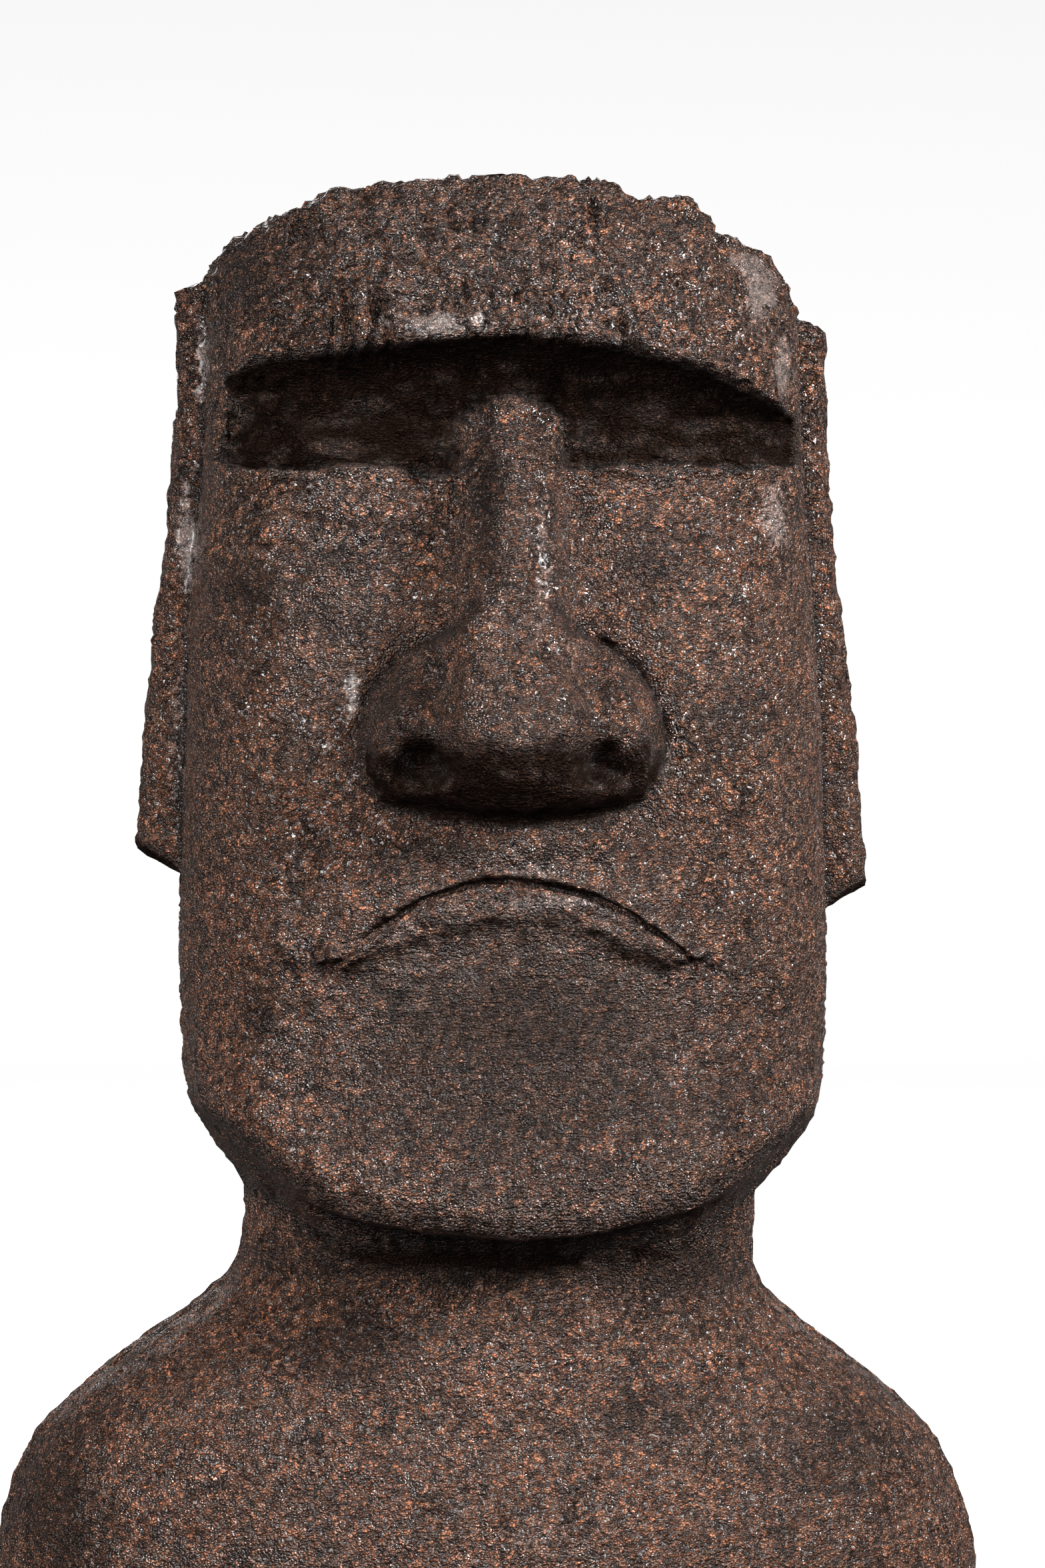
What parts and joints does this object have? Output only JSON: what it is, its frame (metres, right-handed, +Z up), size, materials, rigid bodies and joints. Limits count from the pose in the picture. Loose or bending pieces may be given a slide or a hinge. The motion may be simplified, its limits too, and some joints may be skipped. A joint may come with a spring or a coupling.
{
  "type": "moai bust statue",
  "caption": "Decorative cast bust of a moai: long head with heavy brow, broad nose, frowning mouth and slab ears, neck and shoulders cut flat below, in dark brown painted stone finish.",
  "frame": {"origin": "middle of the flat underside, on the surface that the bust stands on", "axes": "+Z up through the crown, the face looks along -Y, +X to the right of someone who faces the statue"},
  "size_m": [0.416, 0.2426, 0.6211],
  "materials": {
    "painted_stone": "gritty, half gloss, worn"
  },
  "bodies": {
    "root": {"moai_bust": "painted_stone"}
  },
  "joints": []
}
